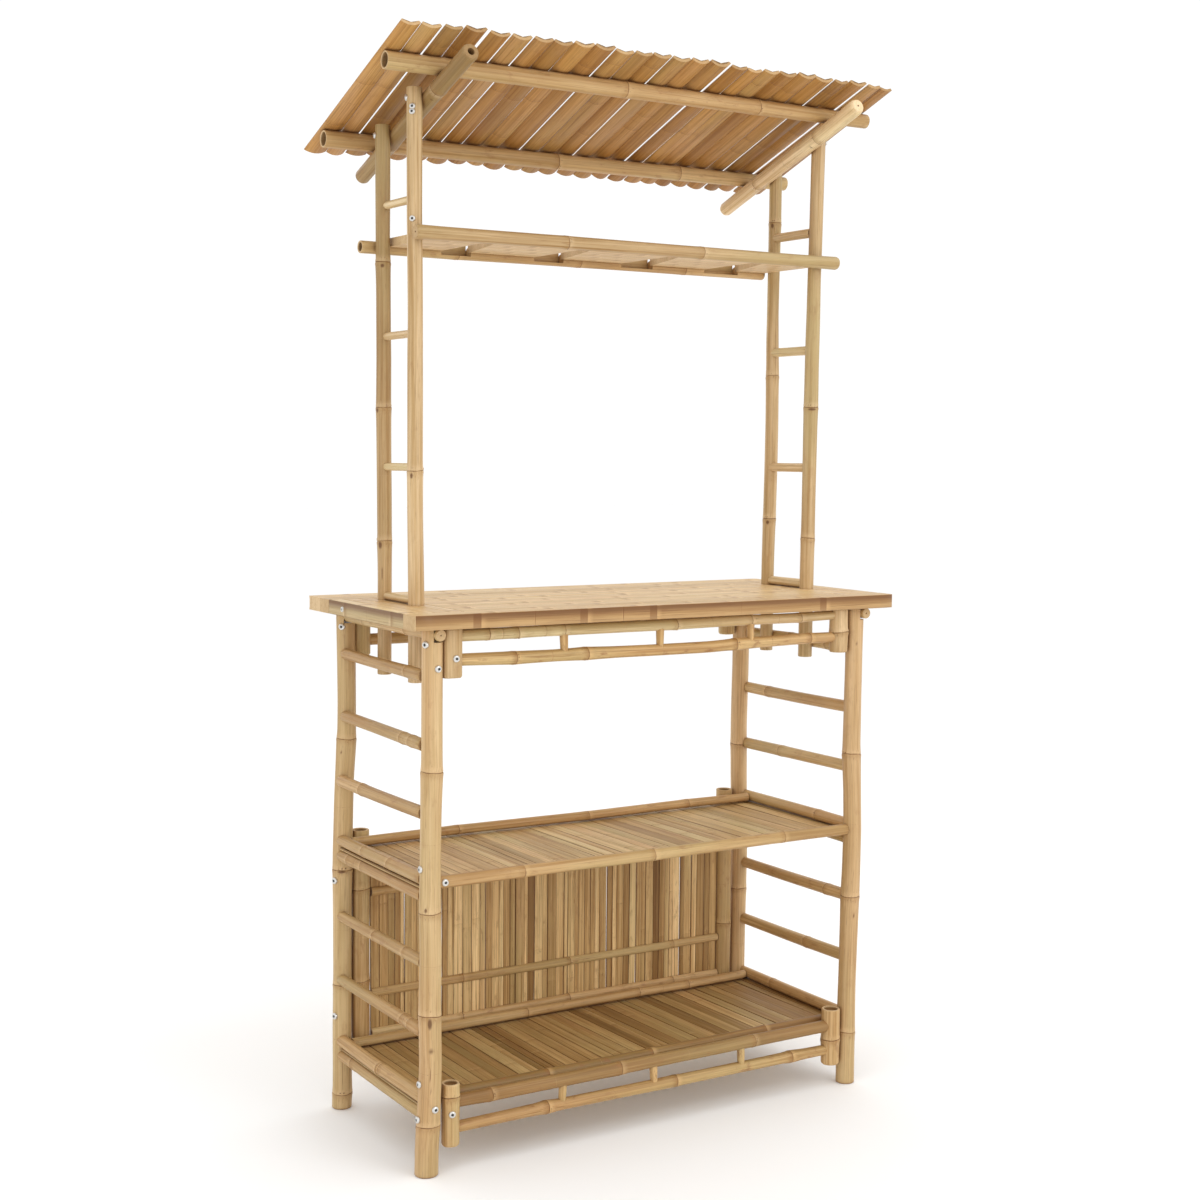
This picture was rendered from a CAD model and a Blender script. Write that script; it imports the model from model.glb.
import math
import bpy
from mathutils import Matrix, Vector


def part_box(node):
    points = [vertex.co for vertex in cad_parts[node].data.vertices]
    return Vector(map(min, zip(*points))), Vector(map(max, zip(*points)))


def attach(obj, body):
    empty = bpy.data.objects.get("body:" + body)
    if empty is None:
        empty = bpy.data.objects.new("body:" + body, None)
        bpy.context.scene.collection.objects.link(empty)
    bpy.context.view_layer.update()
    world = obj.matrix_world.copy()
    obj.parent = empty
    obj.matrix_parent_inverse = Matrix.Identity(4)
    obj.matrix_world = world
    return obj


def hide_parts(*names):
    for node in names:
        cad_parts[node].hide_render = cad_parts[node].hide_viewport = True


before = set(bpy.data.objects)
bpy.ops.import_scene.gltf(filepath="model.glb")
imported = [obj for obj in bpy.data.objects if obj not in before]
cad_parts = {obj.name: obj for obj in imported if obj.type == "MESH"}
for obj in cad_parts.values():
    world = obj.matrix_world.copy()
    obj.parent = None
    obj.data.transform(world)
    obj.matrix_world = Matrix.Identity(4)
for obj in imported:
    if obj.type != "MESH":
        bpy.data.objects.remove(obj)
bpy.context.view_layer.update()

import zlib

import bpy
import numpy as np
from mathutils import Matrix, Vector

MM = 0.001
TURN = 2 * np.pi


# ---------------------------------------------------------------- places, all read from the frame
def low(node, i):
    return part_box(node)[0][i]


def high(node, i):
    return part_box(node)[1][i]


def mid(node, i):
    return (low(node, i) + high(node, i)) / 2


def ranges(node):
    return [(low(node, i), high(node, i)) for i in range(3)]


SHIFT_X = mid("leg_front_left", 0) + 471 * MM
SHIFT_Y = mid("leg_front_left", 1) + 191 * MM


def at(x, y, z):
    """A point given in millimetres from the middle of the four legs."""
    return np.array([x * MM + SHIFT_X, y * MM + SHIFT_Y, z * MM])


def seed_of(text):
    return zlib.crc32(text.encode())


# ---------------------------------------------------------------- geometry
LAYERS = ("ring", "tone", "cut", "knot")


class Piece:
    """Gathers closed skins into one object, with values for the materials at every point."""

    def __init__(self, name):
        self.name, self.verts, self.faces, self.count = name, [], [], 0
        self.data = {key: [] for key in LAYERS + ("grain",)}

    def loft(self, rows, grain, ring=1.0, tone=0.5, cut=0.0, knot=0.0):
        """Skins rows of points, closes both ends and turns the faces outward."""
        rows = np.asarray(rows, float)
        m, k, _ = rows.shape
        index = np.arange(m * k).reshape(m, k)
        after = np.roll(index, -1, axis=1)
        quads = np.stack([index[:-1], after[:-1], after[1:], index[1:]], -1).reshape(-1, 4)
        fans = [np.stack([after[0], index[0], np.full(k, m * k)], -1),
                np.stack([index[-1], after[-1], np.full(k, m * k + 1)], -1)]
        tris = np.vstack(fans)
        points = np.vstack([rows.reshape(-1, 3), rows[0].mean(0), rows[-1].mean(0)])
        corners = np.vstack([quads[:, [0, 1, 2]], quads[:, [0, 2, 3]], tris])
        p = points - points.mean(0)
        if np.einsum("ij,ij->i", p[corners[:, 0]], np.cross(p[corners[:, 1]], p[corners[:, 2]])).sum() < 0:
            quads, tris = quads[:, ::-1], tris[:, ::-1]
        self.verts.append(points)
        self.faces += (quads + self.count).tolist() + (tris + self.count).tolist()
        self.count += len(points)
        grain = np.asarray(grain, float)
        self.data["grain"].append(np.vstack([grain.reshape(-1, 3), grain[0].mean(0), grain[-1].mean(0)]))
        for key, value in zip(LAYERS, (ring, tone, cut, knot)):
            v = np.broadcast_to(np.asarray(value, float), (m, k))
            self.data[key].append(np.concatenate([v.reshape(-1), [v[0].mean(), v[-1].mean()]]))

    def make(self, material, slot, *nodes, sharp=38):
        mesh = bpy.data.meshes.new(self.name)
        mesh.from_pydata(np.vstack(self.verts).tolist(), [], self.faces)
        for key in LAYERS:
            layer = mesh.attributes.new(key, "FLOAT", "POINT")
            layer.data.foreach_set("value", np.concatenate(self.data[key]).astype(np.float32))
        layer = mesh.attributes.new("grain", "FLOAT_VECTOR", "POINT")
        layer.data.foreach_set("vector", np.vstack(self.data["grain"]).astype(np.float32).ravel())
        mesh.materials.append(material)
        mesh.shade_smooth()
        mesh.set_sharp_from_angle(angle=math.radians(sharp))
        thing = bpy.data.objects.new(self.name, mesh)
        bpy.context.collection.objects.link(thing)
        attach(thing, "root")
        if nodes:
            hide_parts(*nodes)
        return thing


NEAR_RING = np.array([-26, -18, -12, -8, -5.5, -3.8, -2.6, -1.7, -1.0, -0.5,
                      0, 0.5, 1.0, 1.7, 2.6, 3.8, 5.5, 8, 12, 18]) * MM
LEAST_STEP = 0.00025


def stations(length, rings, step, ends, extra=()):
    """Places along a stick: even steps, close together at each ring and at both ends."""
    places = [np.linspace(0, length, max(3, int(length / step) + 1)),
              [ends * 0.3, ends, length - ends, length - ends * 0.3], extra]
    places += [r + NEAR_RING for r in rings]
    s = np.unique(np.round(np.concatenate([np.asarray(p, float) for p in places]), 6))
    s = s[(s >= 0) & (s <= length)]
    keep = [0]
    for i in range(1, len(s)):
        if s[i] - s[keep[-1]] > LEAST_STEP:
            keep.append(i)
    keep[-1] = len(s) - 1
    return s[keep]


def along(s, length, knots, values, window=0.03):
    """Values given at a few places along a stick, joined up and softened at each place."""
    fine = np.linspace(0, length, 500)
    v = np.interp(fine, np.asarray(knots, float), np.asarray(values, float))
    n = max(1, int(window / length * 500)) | 1
    v = np.convolve(np.pad(v, n // 2, mode="edge"), np.ones(n) / n, "valid")
    return np.interp(s, fine, v)


def away(T, centre):
    """The angle from centre to T, between minus and plus half a turn."""
    return (T - centre + np.pi) % TURN - np.pi


def culm(piece, a, b, r0, r1=None, rings=(), seed=0, bow=0.0, wander=0.0006, hollow=(0, 0), wall=0.24, sides=40,
         tone=None, swell=1.0, square=0.0, ease=0.0012, knots=(), scars=0.6, step=0.014, plug=0.006, after=None, extra=(),
         path=None, sizes=None, mottle=0.09):
    """A bamboo culm from a to b, with rings, branch scars, a slight wander, and hollow or solid sawn ends.
    path gives (place, x, y, z) offsets and sizes gives (place, radius), both in millimetres. knots gives
    (place, degrees, lift, height, width) in millimetres. tone is one value, or one for each internode."""
    rng = np.random.default_rng(seed)
    a, b = np.asarray(a, float), np.asarray(b, float)
    r1 = r0 if r1 is None else r1
    length = np.linalg.norm(b - a)
    w = (b - a) / length
    v = np.cross(w, [1.0, 0, 0] if abs(w[0]) < 0.9 else [0, 1.0, 0])
    v /= np.linalg.norm(v)
    u = np.cross(v, w)
    theta = np.arange(sides) * TURN / sides
    rings = sorted(rings)
    s = stations(length, rings, step, ease, extra)
    S, T = np.meshgrid(s, theta, indexing="ij")
    phase = rng.uniform(0, TURN, 8)
    # signed distance to the nearest ring, whose line wavers round the culm
    D = np.full(S.shape, 1.0)
    for r in rings:
        p1, p2 = rng.uniform(0, TURN, 2)
        waver = r0 * (0.055 * np.sin(T + p1) + 0.03 * np.sin(2 * T + p2) + 0.012 * np.sin(5 * T + p1))
        d = S - r - waver
        D = np.where(np.abs(d) < np.abs(D), d, D)
    size = r0 / 0.0225
    radius = r0 + (r1 - r0) * S / length
    if sizes:
        radius = np.repeat(along(s, length, [q[0] * MM for q in sizes], [q[1] * MM for q in sizes])[:, None], sides, 1)
    # each internode is a little slimmer in its middle
    edges = np.array([-0.1] + list(rings) + [length + 0.1])
    which = np.clip(np.searchsorted(edges, S) - 1, 0, len(edges) - 2)
    part = (S - edges[which]) / (edges[which + 1] - edges[which])
    radius = radius * (1 - 0.014 * np.sin(np.pi * np.clip(part, 0, 1)))
    oval = rng.uniform(0.004, 0.016)
    radius = radius * (1 + oval * np.cos(2 * T + phase[0]) + 0.005 * np.cos(3 * T + phase[1] + S * 3)
                       + 0.003 * np.cos(5 * T + phase[2] - S * 7))
    if square:
        p = 2 + square
        soft = (np.abs(np.cos(T)) ** p + np.abs(np.sin(T)) ** p) ** (-1 / p)
        radius = radius * (1 + (soft - 1) * 0.9)
    # a swelling on both sides of each ring, with the ring's own groove and a faint second one below it
    below = np.exp(np.minimum(D, 0) / 0.011) * (D <= 0)
    above = np.exp(-np.maximum(D, 0) / 0.006) * (D > 0)
    radius = radius + swell * size * (0.0013 * below + 0.0011 * above - 0.0013 * np.exp(-(D / 0.0008) ** 2))
    radius = radius + swell * size * 0.0004 * np.exp(-((D + 0.0042) / 0.0012) ** 2)
    # the shallow furrow that runs up from each ring, on alternate sides, and the scars of its two branches
    scar = np.zeros(S.shape)
    for i, r in enumerate(rings):
        centre = phase[3] + i * np.pi + rng.uniform(-0.2, 0.2)
        run = np.clip((S - r) / 0.16, 0, 1)
        radius = radius - 0.0008 * size * np.exp(-(np.abs(away(T, centre)) / 0.42) ** 2) * (1 - run) * (S > r + 0.004)
        if rng.random() < scars:
            for spot in (-0.16, 0.17):
                gap = (away(T, centre + spot) * r0) ** 2 + (S - r - 0.0035) ** 2
                radius = radius + 0.0014 * size * np.exp(-gap / (0.0030 * size + 0.0008) ** 2)
                scar = np.maximum(scar, np.exp(-gap / (0.0014 * size + 0.0006) ** 2))
    for where, angle, lift, tall, wide in knots:
        gap = (away(T, math.radians(angle)) * r0 / (wide * MM)) ** 2 + ((S - where * MM) / (tall * MM)) ** 2
        radius = radius + lift * MM * np.exp(-gap / 4)
        scar = np.maximum(scar, np.exp(-gap))
    radius = radius * (1 + 0.0035 * np.sin(S * 61 + phase[4]) * np.cos(T + phase[5]))
    # eased rims
    radius = radius - ease * 0.6 * np.clip(1 - np.minimum(S, length - S) / ease, 0, 1) ** 2
    # centre line
    bend_at = rng.uniform(0, TURN)
    off = bow * np.sin(np.pi * s / length)
    knees = [0.0] + list(rings) + [length]
    centre = a + np.outer(s, w)
    for turn, axis in ((math.cos(bend_at), u), (math.sin(bend_at), v)):
        jog = np.interp(s, knees, np.concatenate([[0], rng.normal(0, wander, len(rings)), [0]]))
        line = off * turn + np.convolve(np.pad(jog, 2, mode="edge"), np.ones(5) / 5, "valid")
        centre = centre + np.outer(line - np.interp(s, [0, length], [line[0], line[-1]]), axis)
    if path:
        places = [q[0] * MM for q in path]
        centre = centre + np.stack([along(s, length, places, [q[i] * MM for q in path]) for i in (1, 2, 3)], -1)
    shape = (np.cos(T)[..., None] * u + np.sin(T)[..., None] * v) * radius[..., None]
    grain = np.stack([np.cos(T) * radius, np.sin(T) * radius, S], -1)
    grain_shift = rng.uniform(-4, 4, 3)
    end_tone = rng.uniform(0.32, 0.68) if tone is None or np.ndim(tone) else tone
    tones = end_tone + rng.normal(0, mottle, len(rings) + 1)
    if np.ndim(tone):
        tones = np.array(tone)
    cut = np.zeros(S.shape)
    cut[0] = cut[-1] = 1.0
    skins = [[centre[:, None, :] + shape, grain, D, tones[which], cut, scar]]
    # the face of each end, and the bore behind it
    for end in (0, -1):
        if hollow[end]:
            depths = [0.0, 0.0004, 0.003, hollow[end], hollow[end] + 0.001]
            shares = [1 - wall * 0.5, 1 - wall, 1 - wall * 1.02, 1 - wall * 1.1, (1 - wall) * 0.6]
            dark = [1.0, 1.0, 1.7, 2.0, 2.0]
        else:
            depths = [0.0, 0.0001, 0.0002, 0.0006, plug * 0.6]
            shares, dark = [0.86, 0.6, 0.3, 0.17, 0.14], [1.0] * 5
        depths, shares, dark = (np.array(q)[:, None] for q in (depths, shares, dark))
        inward = w if end == 0 else -w
        face = centre[end] + (depths * inward)[:, None] + shape[end] * shares[..., None]
        face_grain = np.stack([np.cos(theta) * r0 * shares, np.sin(theta) * r0 * shares, np.repeat(depths, sides, 1)], -1)
        skin = [face, face_grain] + [np.broadcast_to(q, (5, sides)) for q in (1.0, end_tone, dark, 0.0)]
        skins = [[q[::-1] for q in skin]] + skins if end == 0 else skins + [skin]
    rows, grain, ring, tones, cut, knot = (np.concatenate(q) for q in zip(*skins))
    piece.loft(rows if after is None else after(rows), grain + grain_shift, ring, tones, cut, knot)


def pole(name, material, a, b, r0, r1, rings, title=None, **more):
    """One culm as a piece of its own, which replaces the node that it is named after."""
    p = Piece(title or f"culm_{name}")
    culm(p, a, b, r0, r1, rings, seed_of(name), **more)
    p.make(material, "pole", name)


def standing(name, material, r0, r1, rings, shift=0.0, **more):
    """A pole up the middle of its node's box, or a little to one side."""
    x, y, (z0, z1) = mid(name, 0) + shift, mid(name, 1), ranges(name)[2]
    pole(name, material, (x, y, z0), (x, y, z1), r0, r1, rings, **more)


def lying(name, material, r0, r1, rings, y=None, z=None, **more):
    """A pole from the left end of its node's box to the right, in its middle where y or z isn't given."""
    y, z = mid(name, 1) if y is None else y, mid(name, 2) if z is None else z
    x0, x1 = ranges(name)[0]
    pole(name, material, (x0, y, z), (x1, y, z), r0, r1, rings, **more)


GUTTER = np.array([-1, -0.955, -0.86, -0.6, -0.3, 0, 0.3, 0.6, 0.86, 0.955, 1])


def strip(piece, a, b, across, up, width, thick, rings=(), seed=0, tone=0.5, edge=0.0005, crown=0.0, width1=None,
          waver=0.0, ring_swell=0.0, step=0.03, end_cut=1.0, dish=None, trim=None, seam=0.0):
    """A flat or dished slat whose lower face's middle line runs from a to b. seam darkens its upper edges."""
    rng = np.random.default_rng(seed)
    a, b, across, up = (np.asarray(x, float) for x in (a, b, across, up))
    length = np.linalg.norm(b - a)
    w = (b - a) / length
    s = stations(length, rings, step, 0.0006)
    width1 = width if width1 is None else width1
    if dish is None:
        e, h, t = edge, 0.5, thick
        xs = np.array([-h, -h, -h, -h, -0.25, 0, 0.25, h, h, h, h, 0.25, 0, -0.25])
        in_x = np.array([e, 0, 0, e, 0, 0, 0, -e, 0, 0, -e, 0, 0, 0])
        zs = np.array([0, e, t - e, t, t + crown * 0.8, t + crown, t + crown * 0.8, t, t - e, e, 0, 0, 0, 0])
        skin = np.array([0.4, 0.4, 0, 0, 0, 0, 0, 0, 0, 0.4, 0.4, 0.4, 0.4, 0.4])
        edges, facing = [2, 8], zs > thick * 0.5
    else:
        bend, wall = dish
        angle = GUTTER * math.asin(min(0.95, width / 2 / bend))
        n = len(GUTTER)
        xs = np.concatenate([np.sin(angle) * bend, np.sin(angle[::-1]) * (bend - wall)]) / width
        zs = np.concatenate([bend - np.cos(angle) * bend, bend - np.cos(angle[::-1]) * (bend - wall)])
        in_x = np.zeros(2 * n)
        skin = np.concatenate([np.zeros(n), np.full(n, 0.75)])
        edges, facing = [0, n - 1], np.concatenate([-np.ones(n), np.zeros(n)])
    k = len(xs)
    dark = np.zeros(k)
    dark[edges] = seam
    drift = waver * np.sin(np.pi * s / length * rng.uniform(0.8, 1.7) + rng.uniform(0, 6)) * rng.choice([-1, 1])
    drift = drift - np.interp(s, [0, length], [drift[0], drift[-1]]) * 0.6
    rng.random(2)  # not used, but the draws below depend on it
    D = np.full((len(s), k), 1.0)
    for r in rings:
        bent = xs * width * rng.uniform(-0.06, 0.06) + 0.0007 * np.sin(xs * 9 + rng.uniform(0, 6))
        d = s[:, None] - r - bent
        D = np.where(np.abs(d) < np.abs(D), d, D)
    puff = ring_swell * (np.exp(np.minimum(D, 0) / 0.010) * (D <= 0) + 0.9 * np.exp(-np.maximum(D, 0) / 0.006) * (D > 0)
                         - 1.1 * np.exp(-(D / 0.0008) ** 2))
    wide = width + (width1 - width) * s / length
    x = xs * wide[:, None] + in_x + drift[:, None]
    z = zs + puff * facing
    rows = a + s[:, None, None] * w + x[..., None] * across + z[..., None] * up
    grain = np.stack([np.repeat(xs[None, :] * width, len(s), 0), z, np.repeat(s[:, None], k, 1)], -1)
    grain = grain + rng.uniform(-4, 4, 3)
    cut = np.repeat(skin[None, :], len(s), 0)
    cut[0] = cut[-1] = end_cut
    piece.loft(rows if trim is None else trim(rows), grain, D, tone, cut, dark)


def lathe(piece, point, normal, profile, sides, spin, hexed=None):
    """A turned piece whose axis leaves point along normal; profile is a list of (radius, height).
    From the row numbered hexed onward it is a hexagon."""
    n = np.asarray(normal, float)
    n /= np.linalg.norm(n)
    u = np.cross([0, 0, 1.0] if abs(n[2]) < 0.9 else [1.0, 0, 0], n)
    u /= np.linalg.norm(u)
    v = np.cross(n, u)
    theta = np.arange(sides) * TURN / sides + spin
    rows = []
    for i, (r, h) in enumerate(profile):
        rad = np.full(sides, r)
        if hexed and i >= hexed:
            rad = r * math.cos(math.pi / 6) / np.cos((theta - spin) % (np.pi / 3) - np.pi / 6)
        rows.append(point + n * h + (np.cos(theta)[:, None] * u + np.sin(theta)[:, None] * v) * rad[:, None])
    piece.loft(rows, rows)


# ---------------------------------------------------------------- materials
def shade(colour, *by):
    """A colour with each of its parts multiplied, up to full."""
    return tuple(min(1, c * f) for c, f in zip(colour, by))


def bamboo(name, pale, deep, ring=(0.17, 0.075, 0.028), cut=(0.62, 0.44, 0.24), rough=0.46, streaks=0.5, blotch=0.5,
           tone=0.35, flecks=0.5, bump=0.3, ring_mark=0.8, halo=0.35, stain=0.2, green=0.3, warm=0.3, lines=0.35,
           grime=0.75, reach=0.010, bands=0.5, fade=1.0):
    m = bpy.data.materials.new(name)
    m.use_nodes = True
    t = m.node_tree
    t.nodes.clear()
    new, link = t.nodes.new, t.links.new
    out = new("ShaderNodeOutputMaterial")
    b = new("ShaderNodeBsdfPrincipled")
    for key, value in (("Coat Weight", 0.06), ("Coat Roughness", 0.32), ("Specular IOR Level", 0.3)):
        b.inputs[key].default_value = value
    link(b.outputs[0], out.inputs[0])

    def attribute(which):
        n = new("ShaderNodeAttribute")
        n.attribute_name = which
        return n.outputs["Vector" if which == "grain" else "Fac"]

    grain, R, T, C, K = (attribute(key) for key in ("grain",) + LAYERS)

    def scaled(scale):
        n = new("ShaderNodeMapping")
        n.inputs["Scale"].default_value = scale
        link(grain, n.inputs["Vector"])
        return n.outputs[0]

    def noise(scale, detail=3.0, roughness=0.55):
        n = new("ShaderNodeTexNoise")
        for key, value in (("Scale", 1.0), ("Detail", detail), ("Roughness", roughness)):
            n.inputs[key].default_value = value
        link(scaled(scale), n.inputs["Vector"])
        return n.outputs["Fac"]

    def ramp(value, lo, hi, a=0.0, c=1.0):
        n = new("ShaderNodeMapRange")
        n.interpolation_type = "SMOOTHSTEP"
        for key, val in (("From Min", lo), ("From Max", hi), ("To Min", a), ("To Max", c)):
            n.inputs[key].default_value = val
        link(value, n.inputs["Value"])
        return n.outputs[0]

    def join(socket, value):
        if isinstance(value, tuple):
            socket.default_value = (*value, 1)
        elif isinstance(value, (int, float)):
            socket.default_value = value
        else:
            link(value, socket)

    def maths(op, *values):
        n = new("ShaderNodeMath")
        n.operation = op
        for socket, value in zip(n.inputs, values):
            join(socket, value)
        return n.outputs[0]

    def times(x, y):
        return maths("MULTIPLY", x, y)

    def plus(x, y):
        return maths("ADD", x, y)

    def mix(fac, a, c, kind="MIX"):
        n = new("ShaderNodeMix")
        n.data_type, n.blend_type = "RGBA", kind
        for i, value in ((0, fac), (6, a), (7, c)):
            join(n.inputs[i], value)
        return n.outputs[2]

    def painted(base, *coats):
        """A colour with coats over it, each given by where it lies, how strongly and in what colour."""
        for mask, share, colour in coats:
            base = mix(times(mask, share), base, colour)
        return base

    streak = noise((210, 210, 3.2), 4.0, 0.62)
    fibre = noise((900, 900, 9), 3.0, 0.6)
    band = noise((120, 120, 2.2), 2.0, 0.5)
    skin = painted(
        pale,
        (ramp(noise((34, 34, 6)), 0.32, 0.72), blotch, deep),
        (ramp(streak, 0.40, 0.66), streaks, deep),
        (ramp(band, 0.55, 0.61), bands, shade(deep, 0.86, 0.80, 0.70)),
        (ramp(band, 0.45, 0.38), bands * 0.6, shade(pale, 1.10, 1.12, 1.18)),
        (ramp(noise((9, 9, 1.7), 2.0), 0.42, 0.68), green, (0.50, 0.42, 0.19)),
        (ramp(noise((13, 13, 3.1), 2.0), 0.50, 0.72), warm, (0.55, 0.30, 0.13)))
    skin = mix(1.0, skin, ramp(fibre, 0.35, 0.7, 1.0 - 0.16 * lines, 1.0 + 0.07 * lines), "MULTIPLY")
    # a stick's own tone: darker ones are also redder
    level = maths("MULTIPLY_ADD", T, 2 * tone, 1.0 - tone)
    toned = new("ShaderNodeCombineColor")
    for i, power in enumerate((0.85, 1.05, 1.40)):
        link(maths("POWER", level, power), toned.inputs[i])
    level = toned.outputs[0]
    spots = times(ramp(noise((520, 520, 26), 2.0, 0.5), 0.63, 0.72), flecks)
    # rings: a dark ragged line, a darker band below it, a pale one above, and mould round it
    depth = maths("ABSOLUTE", R)
    ragged = plus(depth, times(maths("SUBTRACT", noise((240, 240, 240), 2.0), 0.5), 0.0011))
    line = ramp(ragged, 0.0003, 0.0012, 1.0, 0.0)
    below = times(ramp(R, -0.016, -0.016 + 0.0155 * fade), ramp(R, 0.0004, 0.0010, 1.0, 0.0))
    above = times(ramp(R, 0.0002, 0.0012), ramp(R, 0.003, 0.015, 1.0, 0.0))
    skin = painted(
        mix(1.0, skin, level, "MULTIPLY"),
        (ramp(noise((430, 430, 4.5), 3.0, 0.6), 0.56, 0.70), lines, shade(deep, 0.62, 0.55, 0.45)),
        (spots, 0.55, ring),
        (ramp(noise((60, 60, 26), 4.0, 0.65), 0.56, 0.72), stain, shade(ring, 1.7, 1.7, 1.7)),
        (below, halo, shade(deep, 0.72, 0.62, 0.5)),
        (above, halo * 0.8, shade(pale, 1.08, 1.08, 1.12)),
        (times(line, ramp(noise((70, 70, 70), 2.0), 0.34, 0.6, 0.35, 1.0)), ring_mark, ring),
        (times(ramp(depth, 0.002, 0.022, 1.0, 0.0), ramp(noise((330, 330, 120), 2.0), 0.60, 0.70)), 0.45, ring),
        (ramp(K, 0.25, 0.8), 0.85, shade(ring, 0.7, 0.6, 0.5)))
    # sawn ends, split faces and bores
    dots = new("ShaderNodeTexVoronoi")
    dots.inputs["Scale"].default_value = 1.0
    link(scaled((1300, 1300, 40)), dots.inputs["Vector"])
    speck = ramp(dots.outputs["Distance"], 0.16, 0.42, 1.0, 0.0)
    sawn = painted(cut, (speck, 0.45, shade(cut, 0.55, 0.42, 0.3)),
                   (ramp(noise((160, 160, 12)), 0.4, 0.7), 0.35, shade(cut, 0.72, 0.62, 0.5)))
    sawn = mix(1.0, sawn, level, "MULTIPLY")
    sawn = mix(ramp(C, 1.05, 1.9), sawn, shade(cut, 0.40, 0.31, 0.2))
    colour = mix(ramp(C, 0.05, 0.95), skin, sawn)
    # soil and shadow that settle where two sticks meet
    corner = new("ShaderNodeAmbientOcclusion")
    corner.samples = 4
    corner.inputs["Distance"].default_value = reach
    soil = times(ramp(corner.outputs["AO"], 0.20, 0.80, 1.0, 0.0), grime)
    link(mix(soil, colour, shade(ring, 1.2, 1.15, 1.1)), b.inputs["Base Color"])
    shine = plus(times(ramp(streak, 0.3, 0.7), 0.16), rough - 0.06)
    shine = plus(shine, times(ramp(C, 0.1, 0.9), 0.3))
    link(plus(shine, times(times(line, ring_mark), 0.2)), b.inputs["Roughness"])
    height = plus(times(fibre, 0.5), times(streak, 0.8))
    height = maths("SUBTRACT", height, times(spots, 0.35))
    height = maths("SUBTRACT", height, times(line, 0.9))
    height = plus(height, times(speck, times(C, -0.5)))
    bumps = new("ShaderNodeBump")
    bumps.inputs["Strength"].default_value = bump
    bumps.inputs["Distance"].default_value = 0.0006
    link(height, bumps.inputs["Height"])
    link(bumps.outputs[0], b.inputs["Normal"])
    return m


def metal(name, colour, rough):
    m = bpy.data.materials.new(name)
    m.use_nodes = True
    new, link = m.node_tree.nodes.new, m.node_tree.links.new
    b = m.node_tree.nodes["Principled BSDF"]
    b.inputs["Metallic"].default_value = 0.85
    n = new("ShaderNodeTexNoise")
    n.inputs["Scale"].default_value, n.inputs["Detail"].default_value = 900, 3
    link(new("ShaderNodeTexCoord").outputs["Object"], n.inputs["Vector"])
    r = new("ShaderNodeMapRange")
    r.inputs["To Min"].default_value, r.inputs["To Max"].default_value = rough - 0.08, rough + 0.16
    link(n.outputs["Fac"], r.inputs["Value"])
    link(r.outputs[0], b.inputs["Roughness"])
    c = new("ShaderNodeMix")
    c.data_type = "RGBA"
    c.inputs[6].default_value, c.inputs[7].default_value = (*colour, 1), (*shade(colour, 0.72, 0.7, 0.66), 1)
    link(n.outputs["Fac"], c.inputs[0])
    link(c.outputs[2], b.inputs["Base Color"])
    bumps = new("ShaderNodeBump")
    bumps.inputs["Strength"].default_value, bumps.inputs["Distance"].default_value = 0.12, 0.0002
    link(n.outputs["Fac"], bumps.inputs["Height"])
    link(bumps.outputs[0], b.inputs["Normal"])
    return m


LEG = bamboo("culm_leg", (0.660, 0.445, 0.232), (0.480, 0.290, 0.120), green=0.32, warm=0.22, streaks=0.62, blotch=0.55,
             tone=0.30, lines=0.5)
POLE = bamboo("culm_pole", (0.640, 0.425, 0.200), (0.460, 0.262, 0.096), green=0.42, warm=0.30, streaks=0.65, tone=0.35,
              stain=0.45, lines=0.55)
KNOTTY = bamboo("culm_knotty", (0.620, 0.395, 0.165), (0.390, 0.205, 0.066), green=0.42, warm=0.50, streaks=0.75,
                tone=0.30, stain=0.8, halo=0.6, lines=0.7)
UPRIGHT = bamboo("culm_upright", (0.690, 0.500, 0.280), (0.480, 0.300, 0.120), green=0.45, warm=0.20, streaks=0.72,
                 tone=0.45, lines=0.6)
BOARD = bamboo("board_laminated", (0.750, 0.535, 0.262), (0.560, 0.340, 0.136), ring=(0.24, 0.115, 0.045), rough=0.42,
               streaks=0.6, blotch=0.4, tone=0.24, green=0.15, warm=0.20, lines=0.7, flecks=0.8, halo=0.75,
               ring_mark=0.45, stain=0.6, bump=0.22, reach=0.004, bands=0.4, fade=0.4)
EDGE = bamboo("board_edge", (0.530, 0.312, 0.120), (0.340, 0.170, 0.052), ring=(0.22, 0.100, 0.035), rough=0.45, tone=0.2,
              green=0.10, warm=0.25, lines=0.9, flecks=0.8, halo=0.95, ring_mark=0.5, stain=0.3, bump=0.22, reach=0.004,
              fade=0.12)
SIDE = bamboo("board_side", (0.570, 0.435, 0.236), (0.420, 0.280, 0.125), ring=(0.22, 0.100, 0.035), rough=0.45, tone=0.2,
              green=0.2, warm=0.2, lines=0.8, flecks=0.8, halo=0.8, ring_mark=0.4, stain=0.3, bump=0.22, reach=0.004)
DECK = bamboo("slat_deck", (0.635, 0.425, 0.185), (0.425, 0.250, 0.088), rough=0.55, streaks=0.6, tone=0.45, lines=0.8,
              flecks=0.7, stain=0.25, bump=0.4, ring_mark=0.4, halo=0.2, green=0.45, reach=0.004)
PANEL = bamboo("slat_panel", (0.740, 0.500, 0.222), (0.470, 0.268, 0.095), rough=0.55, streaks=0.7, tone=0.52, lines=0.9,
               flecks=0.8, stain=0.35, bump=0.4, ring_mark=0.12, halo=0.1, reach=0.004)
ROOF = bamboo("slat_roof", (0.490, 0.248, 0.064), (0.330, 0.146, 0.033), rough=0.5, streaks=0.6, tone=0.36, lines=0.6,
              stain=0.35, warm=0.45, halo=0.15, ring_mark=0.35, cut=(0.52, 0.36, 0.19), green=0.22, reach=0.006)
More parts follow.
